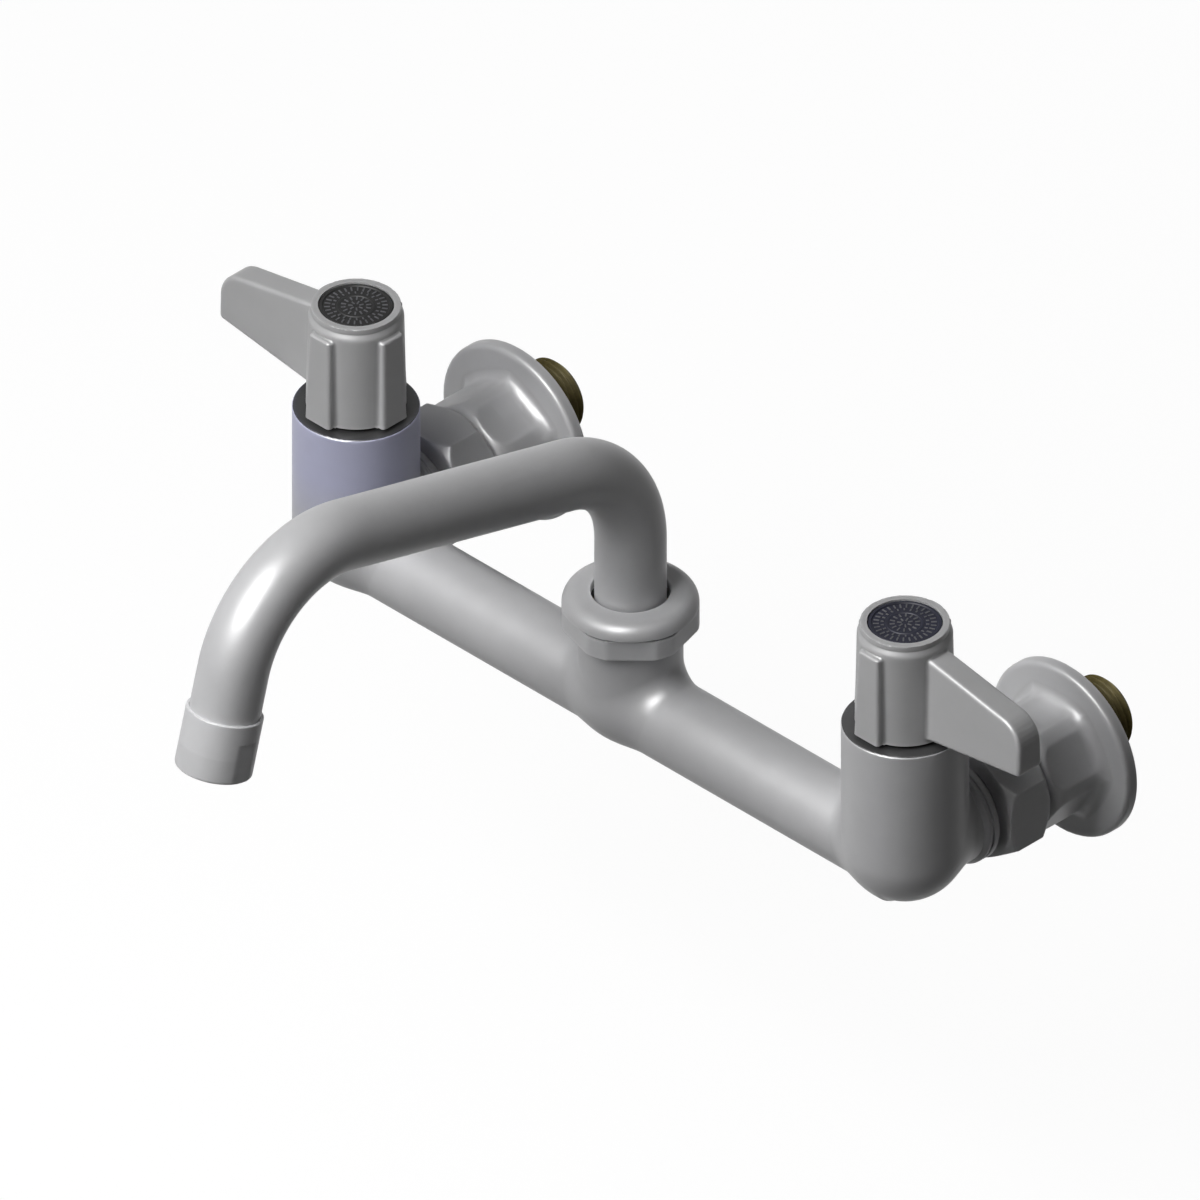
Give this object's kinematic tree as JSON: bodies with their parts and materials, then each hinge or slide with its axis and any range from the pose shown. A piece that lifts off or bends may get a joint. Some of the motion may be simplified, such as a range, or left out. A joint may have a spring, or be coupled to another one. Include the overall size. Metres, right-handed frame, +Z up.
{
  "type": "wall-mounted kitchen faucet",
  "caption": "Wall-mounted mixing faucet: cast bar with lever valves at its ends, swinging bent tube spout with aerator, and flanged eccentric supply inlets.",
  "frame": {"origin": "on the finished wall plane, midway between the axes of the two supply nipples", "axes": "+X along the bar to the cold side, +Y into the wall along the supply nipples, +Z up"},
  "size_m": [0.2962, 0.2392, 0.1359],
  "materials": {
    "plated_body": "satin plated",
    "plated_tube": "polished plated",
    "raw_brass": "machined",
    "dark_brass": "dull, threaded",
    "black_rubber": "moulded",
    "acetal": "moulded",
    "ceramic_disc": "lapped",
    "screen_steel": "fine mesh",
    "screw_steel": "plain",
    "dark_index": "near black",
    "navy_index": "near black with a blue cast"
  },
  "bodies": {
    "faucet_body": {"body_casting": "plated_body", "swivel_nut": "plated_body", "swivel_bush": "acetal", "hot_bonnet_nut": "raw_brass", "hot_cartridge_barrel": "raw_brass", "hot_disc_fixed": "ceramic_disc", "hot_seat_washer": "black_rubber", "hot_coupling_nut": "plated_body", "hot_snap_ring": "screw_steel", "hot_inlet_washer": "black_rubber", "hot_wall_flange": "plated_body", "hot_supply_nipple": "dark_brass", "cold_bonnet_nut": "raw_brass", "cold_cartridge_barrel": "raw_brass", "cold_disc_fixed": "ceramic_disc", "cold_seat_washer": "black_rubber", "cold_coupling_nut": "plated_body", "cold_snap_ring": "screw_steel", "cold_inlet_washer": "black_rubber", "cold_wall_flange": "plated_body", "cold_supply_nipple": "dark_brass"},
    "spout": {"spout_tube": "plated_tube", "spout_ferrule": "raw_brass", "spout_oring_upper": "black_rubber", "spout_oring_lower": "black_rubber", "aerator_housing": "plated_tube", "aerator_washer": "black_rubber", "aerator_insert": "acetal", "aerator_screen": "screen_steel"},
    "hot_lever": {"hot_handle": "plated_body", "hot_index_disc": "dark_index", "hot_handle_screw": "screw_steel", "hot_cartridge_stem": "raw_brass", "hot_stem_oring": "black_rubber", "hot_disc_turning": "ceramic_disc"},
    "cold_lever": {"cold_handle": "plated_body", "cold_index_disc": "navy_index", "cold_handle_screw": "screw_steel", "cold_cartridge_stem": "raw_brass", "cold_stem_oring": "black_rubber", "cold_disc_turning": "ceramic_disc"}
  },
  "joints": [
    {"name": "hot_handle_turn", "type": "hinge", "parent": "faucet_body", "child": "hot_lever", "pos_m": [-0.1016, -0.0607, 0.03], "axis": [0, 0, 1], "range_deg": [0, 90]},
    {"name": "cold_handle_turn", "type": "hinge", "parent": "faucet_body", "child": "cold_lever", "pos_m": [0.1016, -0.0607, 0.03], "axis": [0, 0, 1], "range_deg": [-90, 0]},
    {"name": "spout_swing", "type": "hinge", "parent": "faucet_body", "child": "spout", "pos_m": [0, -0.0607, 0.02], "axis": [0, 0, 1], "range_deg": [-75, 75]}
  ]
}
